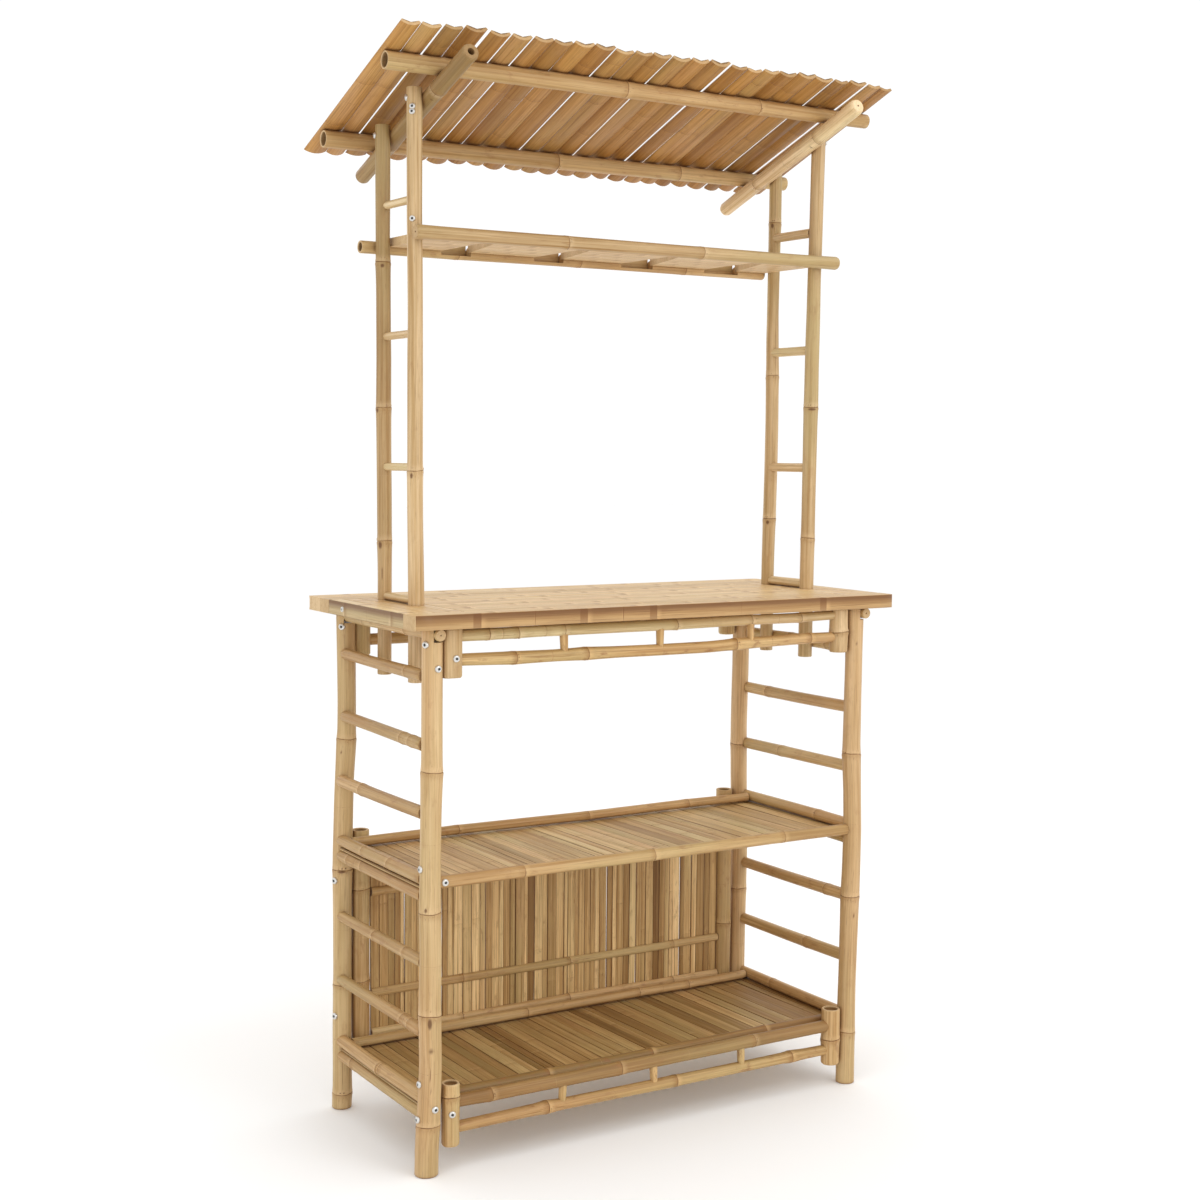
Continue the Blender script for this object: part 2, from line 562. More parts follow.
STEEL = metal("zinc_bolt", (0.80, 0.80, 0.79), 0.32)
SOCKET = metal("socket_dark", (0.10, 0.10, 0.10), 0.5)

# ---------------------------------------------------------------- legs
SIDES = ("left", "right")
# heights of the rings; then height, sideways offset and radius down each centre line; then knots, as in culm
LEG_RINGS = {"front_left": (91, 289, 473, 722), "back_left": (30, 246, 473, 727), "front_right": (107, 387, 678),
             "back_right": (78, 321, 643)}
LEG_LINE = {
    "front_left": (
        (0, -6.0, 21.3), (60, -5.2, 21.1), (100, -2.4, 20.9), (200, 2.2, 20.2), (300, 1.2, 19.9), (400, 2.4, 19.6),
        (480, 0.4, 19.0), (550, 1.0, 18.7), (650, 2.4, 18.7), (715, 4.0, 19.6), (735, 4.4, 18.7), (800, 4.2, 18.6),
        (974, 4.6, 18.7)),
    "back_left": (
        (0, -1.8, 19.2), (100, -1.2, 18.6), (150, -1.2, 18.8), (250, 0.5, 17.9), (400, -0.3, 18.6), (450, -0.6, 19.0),
        (500, 0, 19.2), (600, 3.4, 19.0), (650, 5.6, 18.6), (715, 10.0, 19.2), (735, 11.0, 18.1), (800, 11.4, 17.8),
        (900, 10.4, 18.3), (974, 9.4, 18.6)),
    "front_right": (
        (0, -1.2, 19.0), (100, -1.2, 18.8), (210, -0.8, 18.0), (270, 0.2, 18.3), (370, 1.4, 18.9), (400, 2.2, 19.0),
        (450, 3.6, 18.6), (520, 4.6, 18.4), (600, 2.2, 18.0), (670, -1.5, 18.8), (690, -2.0, 18.0), (800, -1.6, 17.5),
        (870, -1.2, 17.2), (974, -1.9, 18.6)),
    "back_right": (
        (0, -0.6, 18.4), (200, -0.8, 18.2), (330, 0.2, 18.0), (400, 1.2, 18.4), (500, 0, 18.2), (570, -2.0, 18.2),
        (690, -3.8, 17.9), (750, -3.0, 18.3), (810, -2.2, 18.3), (974, -1.8, 18.4))}
LEG_SPOTS = {
    "front_left": ((278, -116, 0, 12, 4.5), (232, -112, 0.6, 6, 6), (185, -114, 0, 16, 1.2), (160, -108, 0, 10, 0.8),
                   (480, -140, 0.3, 5, 3)),
    "back_left": ((470, -118, 0, 3, 9), (700, -140, 0.5, 3, 2)),
    "front_right": ((350, -100, 0.4, 4, 2), (905, -112, 0.6, 5, 4)),
    "back_right": ((195, -100, 0.4, 3, 3),)}
LEG_TONE = {"front_left": (0.36, 0.42, 0.52, 0.56, 0.64), "back_left": (0.52, 0.50, 0.44, 0.42, 0.38),
            "front_right": (0.44, 0.40, 0.42, 0.44), "back_right": (0.50, 0.55, 0.52, 0.56)}
BATTEN_X = {side: mid(f"leg_front_{side}", 0) + 9 * MM for side in SIDES}


def sideways(line):
    """The path and sizes of an upright culm, out of its heights, sideways offsets and radii."""
    return {"path": [(z, off, 0, 0) for z, off, _ in line], "sizes": [(z, r) for z, _, r in line]}


for place, rings in LEG_RINGS.items():
    name = f"leg_{place}"
    x, y, top = mid(name, 0), mid(name, 1), high(name, 2)
    # the notch at the top that the batten lies in
    ledge, wall_x = top - 24 * MM, BATTEN_X[place.split("_")[1]] - 10.2 * MM

    def saddle(rows):
        rows = rows.copy()
        hit = (rows[..., 2] > ledge) & (rows[..., 0] > wall_x)
        rows[..., 0] = np.where(hit, wall_x, rows[..., 0])
        return rows

    pole(name, LEG, (x, y, 0), (x, y, top), 19 * MM, 19 * MM, [r * MM for r in rings], sides=56, hollow=(0.02, 0),
         wall=0.3, ease=0.002, after=saddle, extra=(ledge - 0.0003, ledge + 0.0003), scars=0.5, step=0.012,
         knots=LEG_SPOTS[place], tone=LEG_TONE[place], **sideways(LEG_LINE[place]))

# rungs of the end frames
RUNGS = ("top", "upper", "bay", "middle_over", "middle_under", "low", "lowest", "lower_over", "lower_under")
for side in SIDES:
    for label in RUNGS:
        name = f"end_rung_{side}_{label}"
        rng = np.random.default_rng(seed_of(name))
        x, (y0, y1), z = mid(name, 0), ranges(name)[1], mid(name, 2)
        clamp = "over" in label or "under" in label
        tilt = 0.0 if clamp else rng.uniform(-1.5, 1.5) * MM
        spots = rng.uniform(0.12, 0.88, rng.integers(1, 3)) * (y1 - y0)
        r = (11.7 if clamp else 11.2 + rng.uniform(-0.4, 0.5) + (0.9 if side == "right" else 0)) * MM
        push = 9.0 * MM if side == "left" and z > 0.7 else 0.0
        pole(name, POLE, (x, y0, z - tilt), (x + push, y1, z + tilt), r, r * rng.uniform(0.9, 1.0), spots, bow=0.001,
             sides=32, swell=1.2, scars=0.8, wander=0.0005, tone=0.26 if side == "left" else 0.56)

# ---------------------------------------------------------------- counter
TOP0, TOP1 = ranges("counter_board_front")[2]
TOP_T = TOP1 - TOP0
TOP_L, TOP_R = low("counter_board_front", 0), high("counter_board_front", 0) + 13 * MM
FRONT_Y, BACK_Y = ranges("counter_board_front")[1], ranges("counter_board_back")[1]
INNER_X, INNER_Y = ranges("counter_boards_inner")[:2]
CORNER_R = 0.011
JOINT = 0.0003


def rounded(rows, corners):
    """Pulls the points outside each rounded corner (seen in plan) onto its arc."""
    rows = rows.copy()
    for cx, cy, sx, sy in corners:
        ax, ay = cx - sx * CORNER_R, cy - sy * CORNER_R
        dx, dy = (rows[..., 0] - ax) * sx, (rows[..., 1] - ay) * sy
        far = np.hypot(dx, dy)
        hit = (dx > 0) & (dy > 0) & (far > CORNER_R)
        f = np.where(hit, CORNER_R / np.maximum(far, 1e-9), 1.0)
        rows[..., 0] = np.where(hit, ax + dx * f * sx, rows[..., 0])
        rows[..., 1] = np.where(hit, ay + dy * f * sy, rows[..., 1])
    return rows


def laminated(p, x, y, count, seed, axis=0, rings=None, corners=(), eased=False, tone=None):
    """A board glued up from upright strips along axis, with the rings of each strip at its own places."""
    rng = np.random.default_rng(seed)
    (start, end), run = (y, x)[axis], (x[1] - x[0], y[1] - y[0])[axis]
    bounds = np.linspace(start, end, count + 1)
    trim = (lambda rows: rounded(rows, corners)) if corners else None
    for i in range(count):
        c, wide = (bounds[i] + bounds[i + 1]) / 2, bounds[i + 1] - bounds[i] - rng.choice([0.00015, 0.0005, 0.0009])
        if rings and i in rings:
            spots = rings[i]
        else:
            spots, s = [], rng.uniform(0.02, 0.30)
            while s < run - 0.01:
                spots.append(s)
                s += rng.uniform(0.20, 0.36)
        a, b, across = ((c, y[0]), (c, y[1]), (1, 0, 0)) if axis else ((x[0], c), (x[1], c), (0, 1, 0))
        edge = 0.0018 if eased and i in (0, count - 1) else 0.0009
        strip(p, (*a, TOP0), (*b, TOP0), across, (0, 0, 1), wide, TOP_T + rng.uniform(-0.00008, 0.00008),
              [s for s in spots if 0.004 < s < run - 0.004], seed + i * 7,
              rng.uniform(0.2, 0.8) if tone is None else tone, edge, trim=trim, step=0.02, seam=0.9)


def board(label, material, x, y, count, seed, *nodes, **more):
    p = Piece(f"board_{label}")
    laminated(p, x, y, count, seed, **more)
    p.make(material, "board", *nodes)


FRONT_CORNERS = [(TOP_R, FRONT_Y[0], 1, -1), (TOP_L, FRONT_Y[0], -1, -1)]
board("front", BOARD, (TOP_L, TOP_R), (FRONT_Y[0] + 4 * MM, FRONT_Y[1]), 2, 11, "counter_board_front",
      corners=FRONT_CORNERS)
board("front_edge", EDGE, (TOP_L, TOP_R), (FRONT_Y[0], FRONT_Y[0] + 3.8 * MM), 1, 14,
      rings={0: [0.127, 0.343, 0.491, 0.886]}, corners=FRONT_CORNERS, tone=0.5)
board("back", BOARD, (TOP_L, TOP_R), BACK_Y, 5, 12, "counter_board_back", eased=True,
      corners=[(TOP_R, BACK_Y[1], 1, 1), (TOP_L, BACK_Y[1], -1, 1)])
p = Piece("board_inner")
y0, y1 = INNER_Y
for i in range(3):
    laminated(p, INNER_X, (y0 + (y1 - y0) * i / 3 + 0.0005, y0 + (y1 - y0) * (i + 1) / 3 - 0.0005), 5, 20 + i)
p.make(BOARD, "board", "counter_boards_inner")
END_Y = (FRONT_Y[1] + JOINT, BACK_Y[0] - JOINT)
for side, x, count, seed in (("left", (TOP_L + 2.7 * MM, INNER_X[0] - JOINT), 4, 35),
                             ("right", (INNER_X[1] + JOINT, TOP_R), 3, 36)):
    name = f"counter_end_{side}"
    board(f"end_{side}", BOARD, x, END_Y, count, seed, name, axis=1, eased=True,
          rings={0: [0.028, 0.20], 3: [0.03, 0.24]})
    if side == "left":
        board("end_left_face", SIDE, (TOP_L, TOP_L + 2.6 * MM), END_Y, 1, 61, axis=1, rings={0: [0.05, 0.25]}, tone=0.5)
    p = Piece(f"batten_{side}")
    (y0, y1), z = ranges(name)[1], TOP0 - 11.4 * MM
    culm(p, (BATTEN_X[side], y0 + 10 * MM, z), (BATTEN_X[side], y1, z), 10.6 * MM, 11.2 * MM, [0.13, 0.31],
         seed_of(name), sides=36, ease=0.0022, plug=0.004)
    p.make(POLE, "pole")


# ---------------------------------------------------------------- aprons
def apron(label, material, low_material, post_r, top_rings, low_rings, tones, square=0.0, hollow_top=0.0,
          lines=(None, None, None, None), pegs=(-202, 5, 213)):
    """Two posts, a top rail, and a low rail with three pegs; lines are path and sizes of each rail.
    A square left post also stands 2.5 mm further left and has a knot."""
    for side, radius in zip(SIDES, post_r):
        name = f"apron_{label}_post_{side}"
        tall, r = high(name, 2) - low(name, 2), radius * MM
        squared = square and side == "left"
        standing(name, material, r, r * 1.02, [0.45 * tall] if side == "right" else [0.78 * tall] if hollow_top else [],
                 sides=48, shift=-2.5 * MM if squared else 0.0, square=square if squared else 0.0, ease=0.0035, swell=1.6,
                 hollow=(0, hollow_top), wall=0.2, wander=0.0002, step=0.006, scars=1.0, plug=0.003,
                 knots=((47, -60, 0.3, 3, 4),) if squared else (), tone=0.5)
    top, bottom = f"apron_{label}_rail_top", f"apron_{label}_rail_low"
    x0, x1 = ranges(top)[0]
    y, zt, zl = mid(top, 1), mid(top, 2), low(bottom, 2) + 12 * 1.07 * MM
    rt = (high(top, 2) - low(top, 2)) / 2 / 1.07
    start = (x0 - SHIFT_X) / MM
    lying(top, material, rt, rt * 0.94, [(r - start) * MM for r in top_rings], sides=36, swell=1.2, scars=1.0,
          wander=0.0010, path=lines[0], sizes=lines[1], mottle=0.07, tone=tones[0])
    p = Piece(f"culm_{bottom}")
    culm(p, (x0, y, zl), (x1, y, zl), 11.4 * MM, 11 * MM, [(r - start) * MM for r in low_rings], seed_of(bottom),
         sides=36, swell=1.2, scars=1.0, wander=0.0012, path=lines[2], sizes=lines[3], tone=tones[1])
    drop = [lines[k][len(lines[k]) // 2][3] * MM if lines[k] else 0 for k in (0, 2)]
    for i, place in enumerate(pegs):
        px = place * MM + SHIFT_X
        tip = np.random.default_rng(seed_of(bottom) + i).uniform(-2.5, 2.5) * MM
        culm(p, (px, y - 1.5 * MM, zl + drop[1] + 5 * MM), (px + tip, y - 1.5 * MM, zt + drop[0] - 5 * MM), 7.0 * MM,
             8.0 * MM, [], seed_of(bottom) + i, sides=24, tone=0.7, wander=0.0001, ease=0.003)
    p.make(low_material, "pole", bottom)


apron("counter_front", UPRIGHT, KNOTTY, (18.6, 18.4), (-358, -299, -205, 40, 213, 332), (-305, -155, 178, 357),
      (0.60, 0.76), square=2.2,
      lines=([(0, 0, 0, 0), (500, 0, 0, 0), (848, 0, 0, 1.6)], [(0, 10.8), (424, 10.5), (700, 10.0), (848, 8.9)],
             [(0, 0, 0, 1.2), (120, 0, 0, 0.6), (270, 0, 0, -1.4), (424, 0, 0, -2.8), (540, 0, 0, -3.0),
              (600, 0, 0, -0.8), (848, 0, 0, 1.0)],
             [(0, 11.0), (119, 12.0), (200, 11.2), (269, 12.3), (330, 11.0), (590, 11.0), (604, 12.2), (640, 11.0),
              (848, 10.2)]))
apron("counter_back", POLE, POLE, (17.6, 17.6), (-250, 20, 240), (-270, -30, 215), (0.4, 0.45))
apron("floor_front", POLE, KNOTTY, (16.4, 18.4), (-350, -74, 235), (-232, 52, 330), (-0.20, 0.40), hollow_top=0.006,
      pegs=(-200, 3, 208), lines=([(0, 0, 0, -2.6), (350, 0, 0, -4.8), (600, 0, 0, -4.2), (848, 0, 0, -2.8)],
             [(0, 12.4), (345, 13.2), (360, 12.2), (848, 12.2)],
             [(0, 0, 0, -3.4), (424, 0, 0, -4.4), (848, 0, 0, -4.0)],
             [(0, 10.6), (170, 11.2), (190, 13.0), (215, 11.0), (470, 11.6), (500, 11.0), (740, 11.0), (754, 12.8),
              (780, 10.8), (848, 10.4)]))


# ---------------------------------------------------------------- shelves
def split(start, end, count, rng, spread):
    """The edges of a row of slats of unequal widths."""
    parts = rng.uniform(1 - spread, 1 + spread, count)
    return start + np.concatenate([[0], np.cumsum(parts)]) / parts.sum() * (end - start)


def held(axis, keep, limit):
    """A saw cut along a culm: keep is np.minimum or np.maximum, of one axis and a limit."""
    def cut(rows):
        rows = rows.copy()
        rows[..., axis] = keep(rows[..., axis], limit)
        return rows
    return cut


DECK_COUNT = 40
for label, tone_shift in (("middle", 0.06), ("lower", -0.28)):
    name = f"shelf_deck_{label}"
    (x0, x1), (y0, y1), (z0, z1) = ranges(name)
    rng = np.random.default_rng(seed_of(name))
    p = Piece(f"slats_{name}")
    edges = split(x0, x1, DECK_COUNT, rng, 0.36)
    for i in range(DECK_COUNT):
        gap = rng.choice([0.0005, 0.0009, 0.0013, 0.0018], p=[0.45, 0.33, 0.15, 0.07])
        c, wide = (edges[i] + edges[i + 1]) / 2, edges[i + 1] - edges[i] - gap
        # towards the right the slats lean, their front ends further right
        lean = 7 * MM * np.clip((c - x0 - 0.30) / 0.2, 0, 1) * np.clip((x1 - c) / 0.06, 0, 1)
        spots = [s for s in (rng.uniform(0.0, 0.36), rng.uniform(0.2, 0.5)) if 0.01 < s < y1 - y0 - 0.01]
        spots = spots[: rng.integers(0, 3)]
        z = z0 + rng.uniform(-0.0002, 0.0003)
        strip(p, (c + lean, y0 + rng.uniform(0, 0.001), z), (c - lean, y1 - rng.uniform(0, 0.003), z), (1, 0, 0),
              (0, 0, 1), wide, z1 - z0 - rng.uniform(0.0001, 0.0008), spots, seed_of(name) + i,
              float(rng.normal(0.5 + tone_shift, 0.17)), 0.0006, crown=0.0005, waver=0.0004, ring_swell=0.0003, step=0.02,
              width1=wide * rng.uniform(0.95, 1.0), seam=0.8)
    p.make(DECK, "slat", name)

for label, radius, rings, tone in (("middle_front", 11.4, (-285, -5, 300), 0.28),
                                   ("middle_back", 9.6, (-240, 60, 310), 0.40),
                                   ("lower_back", 9.6, (-80, 190, 315), 0.40)):
    name = f"shelf_rail_{label}"
    lying(name, POLE, radius * MM, radius * 0.96 * MM, [r * MM - low(name, 0) + SHIFT_X for r in rings], sides=36,
          bow=0.001, swell=1.1, wander=0.001, scars=0.8, tone=tone)

name = "shelf_strip_lower_front"
z0 = low(name, 2)
lying(name, KNOTTY, 12 * MM, 11.6 * MM, [0.234, 0.464, 0.734], z=z0, title="strip_shelf_lower_front", swell=1.1,
      after=held(2, np.maximum, z0), scars=0.3, tone=-0.32, mottle=0.06)

# ---------------------------------------------------------------- back panel
for side, shift in (("left", -3.0 * MM), ("right", 0)):
    standing(f"panel_post_{side}", POLE, 18.2 * MM, 17.6 * MM, [0.12, 0.30], shift=shift, sides=44, hollow=(0, 0.012),
             wall=0.25, scars=0.7)

# wider slits between the slats: place, width, and 1 where the slit is as wide at the top
SLITS = [(x * MM + SHIFT_X, wide * MM, top) for x, wide, top in (
    (-160, 1.4, 1), (-60, 2.0, 0), (130, 1.6, 1), (195, 2.2, 1), (318, 1.8, 1), (400, 1.6, 1))]
PANEL_COUNT = 56
name = "panel_slats"
(x0, x1), (y0, y1), (z0, z1) = ranges(name)
rng = np.random.default_rng(5)
p = Piece("slats_panel")
edges = split(x0, x1, PANEL_COUNT, rng, 0.42)
for i, (left, right) in enumerate(zip(edges, edges[1:])):
    lean = rng.uniform(-0.0006, 0.0006)
    w0 = w1 = right - left - rng.choice([0.0002, 0.0006], p=[0.6, 0.4])
    for where, gap, top in SLITS:
        if left <= where < right:
            w0, w1 = w0 - gap, w1 - gap * top
    spots = sorted(rng.uniform(0.03, 0.37, rng.integers(0, 2)))
    back = rng.uniform(0, 0.0018)
    strip(p, (left + w0 / 2, y1 - back, z0), (left + w1 / 2 + lean, y1 - back, z1 - rng.uniform(0, 0.002)), (1, 0, 0),
          (0, -1, 0), w0, (y1 - y0) * rng.uniform(0.66, 0.95), spots, 500 + i,
          float(np.clip(rng.normal(0.5, 0.27), -0.1, 1.0)), 0.0008, crown=0.0006, waver=0.0003, ring_swell=0.0002,
          width1=w1, step=0.02, seam=0.8)
p.make(PANEL, "slat", name)
for label in ("top", "middle", "bottom"):
    name = f"panel_rail_{label}"
    y1 = high(name, 1)
    lying(name, POLE, 8.8 * MM, 8.4 * MM, [0.2, 0.45, 0.71], y=y1, sides=36, after=held(1, np.minimum, y1), scars=0.5,
          swell=1.2, bow=0.0005)

# ---------------------------------------------------------------- ladders
# as for the legs, from the uprights' feet
UPRIGHT_RINGS = {"left_front": (383,), "left_back": (250, 498, 763), "right_front": (245, 513),
                 "right_back": (280, 580, 897)}
UPRIGHT_LINE = {
    "left_front": (
        (0, 1.2, 14.9), (170, 1.2, 14.9), (230, 0.3, 14.6), (300, -0.8, 14.4), (370, -1.0, 14.5), (395, -0.7, 14.3),
        (530, -0.9, 14.3), (600, -1.0, 14.2), (650, -0.6, 13.8), (720, -1.1, 14.0), (830, -2.6, 13.9),
        (1058, -2.8, 14.2)),
    "left_back": (
        (0, 0.4, 13.4), (190, 0.2, 13.3), (250, -0.5, 13.8), (340, -0.7, 14.2), (410, -1.1, 14.1), (498, -1.4, 14.3),
        (590, -0.6, 14.2), (640, -1.1, 13.9), (710, -1.2, 13.7), (763, -1.8, 14.1), (800, -2.4, 13.6), (890, -2.0, 14.2),
        (1011, -2.0, 14.3)),
    "right_front": (
        (0, -3.0, 14.5), (170, -2.5, 14.5), (290, -1.0, 14.2), (350, -0.7, 14.4), (410, -0.1, 14.5), (470, 0.3, 14.7),
        (530, 1.3, 14.8), (590, 1.2, 14.5), (650, 1.9, 14.6), (710, 2.7, 14.2), (770, 2.9, 13.8), (830, 4.3, 13.9),
        (950, 6.0, 13.9), (1058, 7.6, 14.2)),
    "right_back": (
        (0, -2.4, 13.4), (190, -2.0, 13.3), (290, 0.2, 13.6), (350, 1.6, 13.8), (410, 2.5, 13.9), (470, 3.2, 13.8),
        (590, 2.7, 13.5), (650, 1.2, 13.2), (710, 0.5, 12.3), (770, 0.8, 12.5), (890, 1.7, 12.8), (1011, 2.4, 13.1))}
UPRIGHT_SPOTS = {
    "left_front": ((374, -140, 0.8, 6, 3),),
    "left_back": ((243, -148, 1.0, 8, 4), (190, -135, 0.5, 12, 2), (492, -165, 0.6, 5, 3), (756, -120, 0.2, 4, 4)),
    "right_front": ((508, -118, 0.2, 3, 9),),
    "right_back": ((272, -140, 0.8, 5, 4), (890, -150, 0.9, 6, 4))}
UPRIGHT_TONE = {"left_front": (0.60, 0.42), "left_back": (0.34, 0.20, 0.10, 0.10), "right_front": (0.44, 0.32, 0.34),
                "right_back": (0.38, 0.42, 0.36, 0.40)}
for side, size in (("left", 7.4), ("right", 9.4)):
    front = f"ladder_{side}_upright_front"
    x = mid(front, 0)
    for place in ("front", "back"):
        name, key = f"ladder_{side}_upright_{place}", f"{side}_{place}"
        y = mid(front, 1) if place == "front" else high(name, 1) - 14.5 * 1.07 * MM
        z0, z1 = ranges(name)[2]
        p = Piece(f"culm_{name}")
        culm(p, (x, y, z0), (x, y, z1), 14 * MM, 14 * MM, [r * MM for r in UPRIGHT_RINGS[key]], seed_of(name), sides=44,
             hollow=(0.01, 0.012), wall=0.28, scars=0.7, wander=0.0004, knots=UPRIGHT_SPOTS[key], tone=UPRIGHT_TONE[key],
             swell=1.2, **sideways(UPRIGHT_LINE[key]))
        # the back upright carries the rungs
        for i, height in enumerate((1000.4 + size, 1249, 1488, 1725) if place == "back" else ()):
            seed = seed_of(name) + i
            tip = np.random.default_rng(seed).uniform(-1, 1) * MM
            z = height * MM
            culm(p, (x, mid(front, 1) + 10 * MM, z), (x, y - 4 * MM, z + tip), size * MM, size * 0.97 * MM, [], seed,
                 sides=30, tone=0.7, wander=0.0001)
        p.make(UPRIGHT, "pole", name)

# ---------------------------------------------------------------- glass rack
lying("rack_rail_front", UPRIGHT, 13 * MM, 13 * MM, [0.309, 0.611], sides=44, bow=0.001, scars=0.8, ease=0.004, swell=0.9,
      sizes=[(0, 13.4), (60, 12.6), (300, 12.0), (600, 11.9), (850, 12.2), (946, 13.4)],
      knots=((311, -70, 0.6, 5, 6), (303, -40, 0.3, 3, 8)), tone=0.32, mottle=0.05)
name = "rack_rail_back_with_boards"
(x0, x1), (_, y1), (z0, _) = ranges(name)
RAIL_Y, RAIL_Z = y1 - 12 * 1.07 * MM, z0 + 12 * MM
BOARD_Z, BOARD_T = RAIL_Z + 1.5 * MM, 15.5 * MM
BOARD_Y0, BOARD_Y1 = high("rack_rail_front", 1) + JOINT, RAIL_Y
RACK_L, RACK_R = mid("ladder_left_upright_front", 0) + 14.8 * MM, mid("ladder_right_upright_front", 0) - 14.8 * MM
# left edge and width of each notch that holds a glass's stem, and the depth and back of its cut in the rail
NOTCHES = [(RACK_L + (110.5 + 201 * i) * MM, mouth * MM) for i, mouth in enumerate((62, 66, 74, 84))]
NOTCH_FLOOR, NOTCH_BACK = RAIL_Z - 5.5 * MM, RAIL_Y + 8.2 * MM


def notched(rows):
    rows = rows.copy()
    for left, mouth in NOTCHES:
        inside = (rows[..., 0] > left) & (rows[..., 0] < left + mouth)
        inside = inside & (rows[..., 1] < NOTCH_BACK) & (rows[..., 2] > NOTCH_FLOOR)
        rows[..., 2] = np.where(inside, NOTCH_FLOOR, rows[..., 2])
    return rows


p = Piece("culm_rack_rail_back")
cuts = np.array([[left - x0 + d for d in (-0.0002, 0.0002, mouth - 0.0002, mouth + 0.0002)]
                 for left, mouth in NOTCHES]).ravel()
culm(p, (x0, RAIL_Y, RAIL_Z), (x1, RAIL_Y, RAIL_Z), 12 * MM, 11.6 * MM, [0.2, 0.47, 0.72], seed_of(name),
     hollow=(0.045, 0), wall=0.22, after=notched, extra=cuts, scars=0.7, step=0.008, tone=0.44)
# the bore's pith shows on the far wall of each notch
for i, (left, mouth) in enumerate(NOTCHES):
    y, z = NOTCH_BACK + 0.0002, NOTCH_FLOOR + 11.2 * MM
    strip(p, (left + JOINT, y, z), (left + mouth - JOINT, y, z), (0, 0, 1), (0, -1, 0), 22.4 * MM, 0.6 * MM, [], 950 + i,
          0.2, end_cut=0.8, step=0.01)
p.make(POLE, "pole", name)
p = Piece("boards_rack")
PLY = 8
for i in range(5):
    # each board but the first has a slanting left edge, as the notch before it widens towards the rail
    l0, flare = (RACK_L, 0) if i == 0 else (NOTCHES[i - 1][0] + 25 * MM, NOTCHES[i - 1][1] - 25 * MM)
    r0 = RACK_R if i == 4 else NOTCHES[i][0]

    def shear(rows):
        rows = rows.copy()
        share = np.clip((rows[..., 1] - BOARD_Y0) / (BOARD_Y1 - BOARD_Y0), 0, 1)
        rows[..., 0] = np.maximum(rows[..., 0], l0 + flare * share)
        return rows

    for j in range(PLY):
        ya, yb = (BOARD_Y0 + (BOARD_Y1 - BOARD_Y0) * k / PLY for k in (j, j + 1))
        strip(p, (l0, (ya + yb) / 2, BOARD_Z), (r0, (ya + yb) / 2, BOARD_Z), (0, 1, 0), (0, 0, 1), yb - ya - 0.0004,
              BOARD_T, [0.05 + 0.013 * ((j * 5 + i * 3) % 8)], 900 + i * 10 + j, 0.40 + 0.06 * ((i * 3 + j * 2) % 5),
              trim=shear, step=0.006)
p.make(BOARD, "board")

# ---------------------------------------------------------------- roof
PITCH = math.radians(19.3)
ALONG = np.array([0, math.cos(PITCH), -math.sin(PITCH)])
NORMAL = np.array([0, math.sin(PITCH), math.cos(PITCH)])
AXIS_Y, AXIS_Z = mid("rafter_left", 1), mid("rafter_left", 2)
HALF_RAFTER = (high("rafter_left", 1) - low("rafter_left", 1) - 2 * 15.5 * MM * math.sin(PITCH)) / 2 / math.cos(PITCH)
TO_FRONT = (mid("ladder_left_upright_front", 1) - AXIS_Y) / math.cos(PITCH)
for side, shift, short, hollow, ease, tone in (("left", -4, 0, (0.03, 0), 0.004, -0.05),
                                               ("right", 5, 7 * MM, (0, 0), 0.007, 0.98)):
    name = f"rafter_{side}"
    middle = np.array([mid(name, 0) + shift * MM, AXIS_Y, AXIS_Z])
    pole(name, UPRIGHT, middle - ALONG * (HALF_RAFTER - short), middle + ALONG * HALF_RAFTER, 15.8 * MM, 14.6 * MM,
         [0.13, 0.34], sides=44, hollow=hollow, wall=0.5, bow=0.001, ease=ease, scars=0.8, tone=tone,
         knots=((150, 120, 0.4, 3, 6),))

# how far the purlins' middle lines and the slats' lower faces stand off the rafters' middle line
STANDOFF = (15.5 + 0.3 + 16 * math.cos(math.pi / 10)) * MM
SLAT_AT = STANDOFF + (16 * math.cos(math.pi / 10) - 0.8) * MM
SPAN = 133 / math.cos(PITCH)


def on_slope(x, along, normal):
    """A point on the roof: millimetres from the legs' middle, and along and above the slope from the front uprights."""
    return np.array([x * MM + SHIFT_X, AXIS_Y, AXIS_Z]) + ALONG * (TO_FRONT + along * MM) + NORMAL * normal


for label, places, ends, rings, tone, nodes in (
        ("front", (-66, -66), (-514, 549), (0.488, 0.792), 0.46, ["roof_slats_on_purlins"]),
        ("back", (SPAN + 84, SPAN + 76), (-511, 549), (0.495, 0.785), 0.62, [])):
    p = Piece(f"culm_purlin_{label}")
    a, b = (on_slope(x, place, STANDOFF) for x, place in zip(ends, places))
    culm(p, a, b, 16.2 * MM, 14.0 * MM, rings, seed_of(label + "purlin"), sides=44, hollow=(0.05, 0.05), wall=0.15,
         bow=0.0015, scars=0.8, wander=0.0010, tone=tone)
    p.make(POLE, "pole", *nodes)

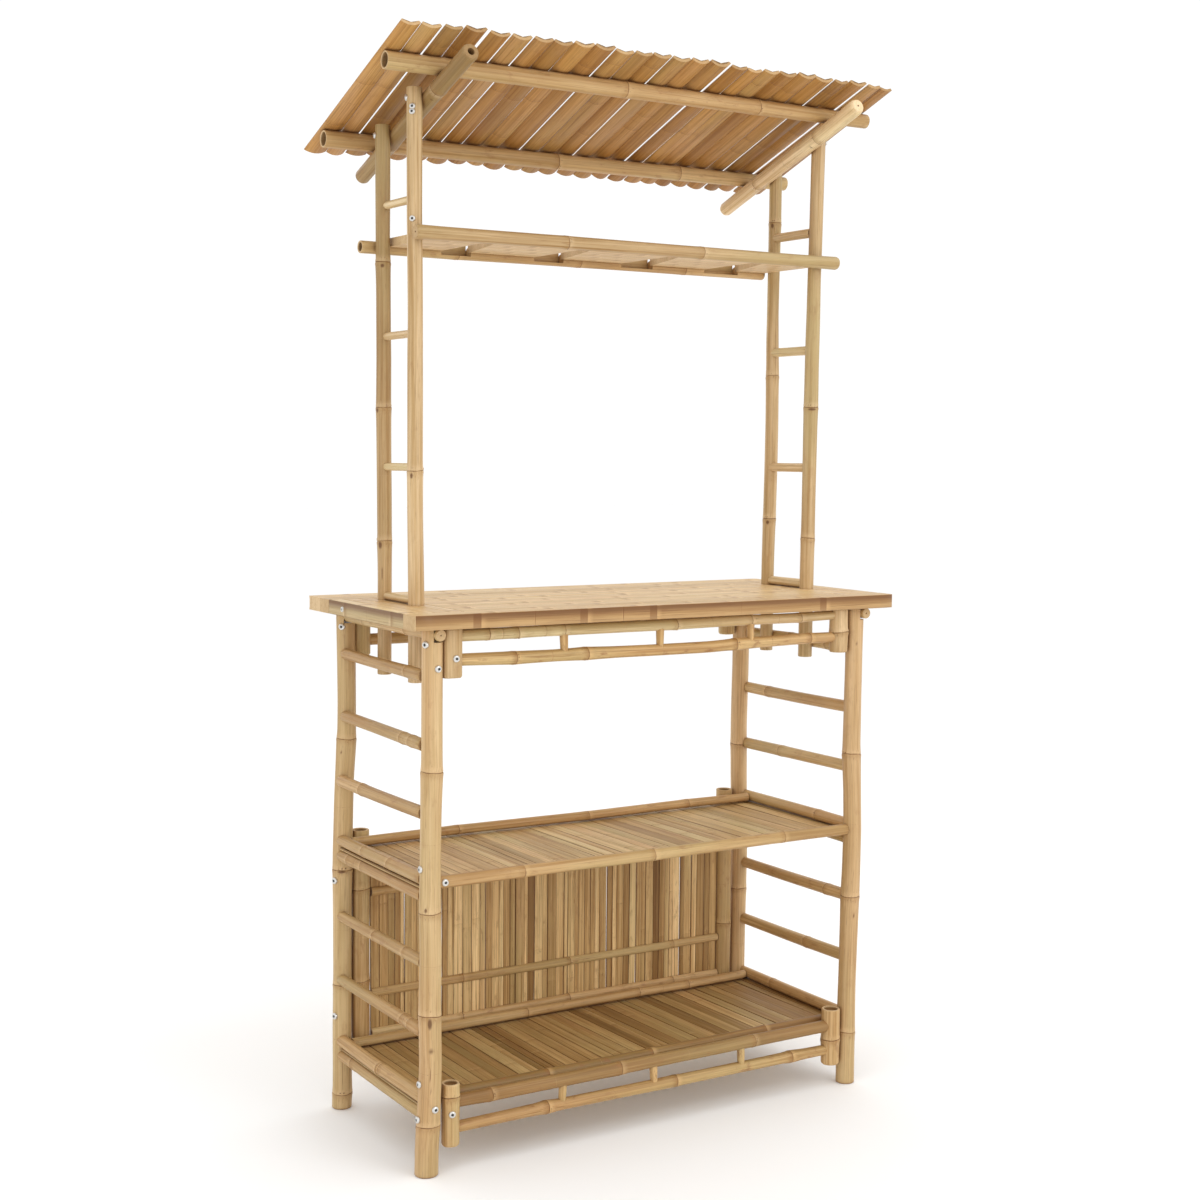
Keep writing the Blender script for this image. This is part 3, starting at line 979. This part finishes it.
# joints between the slats, at their front and back ends, and how far each one is open there
FRONT_JOINTS = (-521.8, -483, -442.5, -404, -356, -310.5, -267, -226, -185.6, -142.5, -98.3, -57.7, -19.6, 22.8, 65,
                106.6, 154.8, 193.9, 229.4, 268, 310.7, 355.3, 399.5, 435.5, 481.2, 515.2, 545.7)
BACK_JOINTS = (-514.5, -469, -432.8, -389, -346, -303, -260.5, -216.5, -175.8, -134.8, -89.2, -48.2, -9.2, 32.5, 74.8,
               116.2, 156, 196, 235.8, 274.5, 313, 356.5, 399.8, 435.8, 476.8, 518, 549)
FRONT_OPEN = (0, 0, 4, 4, 7, 4, 3, 0, 1.5, 1, 0, 0, 0.5, 3, 0.8, 3.5, 3, 0.5, 3, 0, 0, 0.3, 1, 4.5, 4, 2, 0)
BACK_OPEN = (0, 0, 2.5, 2, 3, 2, 3, 0, 0.8, 1, 0.6, 0.6, 0.6, 3.5, 0.8, 0.3, 2, 2.5, 0.8, 0, 0, 0, 3, 3, 4, 2, 0)
SLACK = 0.35
rng = np.random.default_rng(77)
p = Piece("slats_roof")
for i in range(len(FRONT_JOINTS) - 1):
    first = i < 2
    (fl, fr), (bl, br) = [(j[i] + max(0, o[i] - less) / 2 + SLACK, j[i + 1] - max(0, o[i + 1] - less) / 2 - SLACK)
                          for j, o, less in ((FRONT_JOINTS, FRONT_OPEN, 1.3), (BACK_JOINTS, BACK_OPEN, 1.6))]
    tail = 168 if first else 158 + 6 * abs(math.sin(i * 1.9)) - (6 if i in (7, 8) else 0)
    a = on_slope((fl + fr) / 2, -(159 if first else 163 + rng.uniform(-2.5, 2.5)), SLAT_AT)
    b = on_slope((bl + br) / 2, SPAN + tail, SLAT_AT)
    run = np.linalg.norm(b - a)
    spots = [s for s in (rng.uniform(0.03, 0.25), rng.uniform(0.25, 0.44)) if s < run - 0.02][: rng.integers(1, 3)]
    strip(p, a, b, (1, 0, 0), NORMAL, (fr - fl) * MM, 5 * MM, spots, 700 + i,
          float(rng.normal(0.5, 0.16)) + (0.6 if first else 0),
          dish=(rng.uniform(30, 35) * MM, rng.uniform(4.4, 5.2) * MM), waver=0.0004, width1=(br - bl) * MM,
          ring_swell=0.0005, step=0.02, end_cut=0.55, seam=0.75)
p.make(ROOF, "split")

# ---------------------------------------------------------------- bolts
BOLT_SIZE = 1.12
HEAD = [(0.0050, -0.0015), (0.0058, 0.0), (0.0058, 0.0007), (0.0052, 0.0022), (0.0040, 0.0030), (0.0030, 0.0033),
        (0.0026, 0.0030), (0.0025, 0.0012)]
HEX_FROM = 6
BORE = [(0.0022, 0.0008), (0.0026, 0.0013), (0.0022, 0.0016)]
bolts, sockets = Piece("bolt_heads"), Piece("bolt_sockets")


def bolt(point, normal, scale=1.0, spin=0.0):
    scale = scale * BOLT_SIZE
    for piece, profile, sides, hexed in ((bolts, HEAD, 24, HEX_FROM), (sockets, BORE, 12, None)):
        lathe(piece, np.asarray(point, float), normal, [(r * scale, h * scale) for r, h in profile], sides, spin, hexed)


def bolt_on(name, line, degrees, z, scale=1.0, foot=0.0):
    """A bolt head on an upright culm, at an angle round it and a height; line is the culm's own, from its foot."""
    t = math.radians(degrees)
    n = np.array([math.cos(t), math.sin(t), 0])
    heights, offs, radii = zip(*line)
    off, radius = np.interp(z - foot, heights, offs), np.interp(z - foot, heights, radii)
    y = high(name, 1) - 15.5 * MM if name.endswith("upright_back") else mid(name, 1)
    bolt(np.array([mid(name, 0) + off * MM, y, z * MM]) + n * ((radius + 0.1) * MM), n, scale, spin=degrees * 0.7)


for z, degrees in ((904, -83), (123, -84), (946, -154), (551, 180), (166, 180), (103, 182)):
    bolt_on("leg_front_left", LEG_LINE["front_left"], degrees, z)
for z, degrees in ((943, -138), (452, -157), (185, -160)):
    bolt_on("leg_back_left", LEG_LINE["back_left"], degrees, z)
bolt_on("apron_counter_front_post_left", ((0, 0, 18.2), (2000, 0, 18.2)), -90, 920)
bolt_on("apron_floor_front_post_left", ((0, 0, 16.0), (2000, 0, 16.0)), -105, 106)
for key, degrees, z in (("left_front", -131, 1883), ("left_front", -133, 1874), ("left_front", -131, 1688),
                        ("left_front", 165, 1899), ("left_back", 165, 1852), ("right_front", -30, 1905)):
    side, place = key.split("_")
    bolt_on(f"ladder_{side}_upright_{place}", UPRIGHT_LINE[key], degrees, z, 0.85, 860)
rail = "shelf_rail_middle_front"
bolt((low(rail, 0) + 0.012, low(rail, 1) + 0.0012, mid(rail, 2) + 0.001), (0, -1, 0.1))
bolt((TOP_L + 0.0002, mid("counter_end_left", 1) + 0.075, (TOP0 + TOP1) / 2), (-1, 0, 0), 0.8)
bolts.make(STEEL, "bolt", sharp=30)
sockets.make(SOCKET, "bolt", sharp=30)

# ---------------------------------------------------------------- stage
scene = bpy.context.scene
scene.view_settings.view_transform = "Standard"
scene.view_settings.look = "None"

pale = bpy.data.materials.new("floor_pale")
pale.use_nodes = True
shader = pale.node_tree.nodes["Principled BSDF"]
shader.inputs["Base Color"].default_value = (0.97, 0.97, 0.965, 1)
shader.inputs["Roughness"].default_value = 0.9
FLOOR_HALF, FLOOR_Z = 30, -0.0005
mesh = bpy.data.meshes.new("floor")
outline = [(x * FLOOR_HALF, y * FLOOR_HALF, FLOOR_Z) for x, y in ((-1, -1), (1, -1), (1, 1), (-1, 1))]
mesh.from_pydata(outline, [], [(0, 1, 2, 3)])
mesh.materials.append(pale)
floor = bpy.data.objects.new("floor", mesh)
bpy.context.collection.objects.link(floor)

world = bpy.data.worlds.new("studio")
scene.world = world
world.use_nodes = True
sky = world.node_tree.nodes["Background"]
sky.inputs["Color"].default_value, sky.inputs["Strength"].default_value = (1.0, 1.0, 1.0, 1), 1.04


def area(name, place, target, size, power):
    data = bpy.data.lights.new(name, "AREA")
    data.shape, data.size, data.size_y, data.energy = "RECTANGLE", size[0], size[1], power
    thing = bpy.data.objects.new(name, data)
    bpy.context.collection.objects.link(thing)
    thing.location = place
    thing.rotation_mode = "QUATERNION"
    thing.rotation_quaternion = (Vector(target) - Vector(place)).to_track_quat("-Z", "Y")


area("key", (1.6, -4.2, 3.0), (0, 0, 1.0), (2.6, 2.6), 45)
area("fill", (-4.2, -2.2, 2.0), (0, 0, 0.9), (2.5, 2.5), 12)
area("top", (0.3, -0.8, 4.6), (0, 0, 1.0), (3.0, 3.0), 20)
area("back", (-0.6, 3.8, 2.4), (0, 0, 1.1), (2.5, 2.0), 8)

# ---------------------------------------------------------------- camera, at the photograph's angle
data = bpy.data.cameras.new("camera")
data.sensor_fit, data.sensor_width, data.lens = "HORIZONTAL", 36.0, 54.70
data.clip_start, data.clip_end = 0.05, 100
camera = bpy.data.objects.new("camera", data)
bpy.context.collection.objects.link(camera)
right = Vector((0.85225895, -0.52303825, 0.00925592))
up = Vector((0.03689645, 0.07775131, 0.99628981))
forward = Vector((0.52181734, 0.8487554, -0.0855625))
rotation = Matrix((right, up, -forward)).transposed()
camera.matrix_world = Matrix.Translation(Vector(at(-1864.71, -3018.54, 1294.84))) @ rotation.to_4x4()
scene.camera = camera
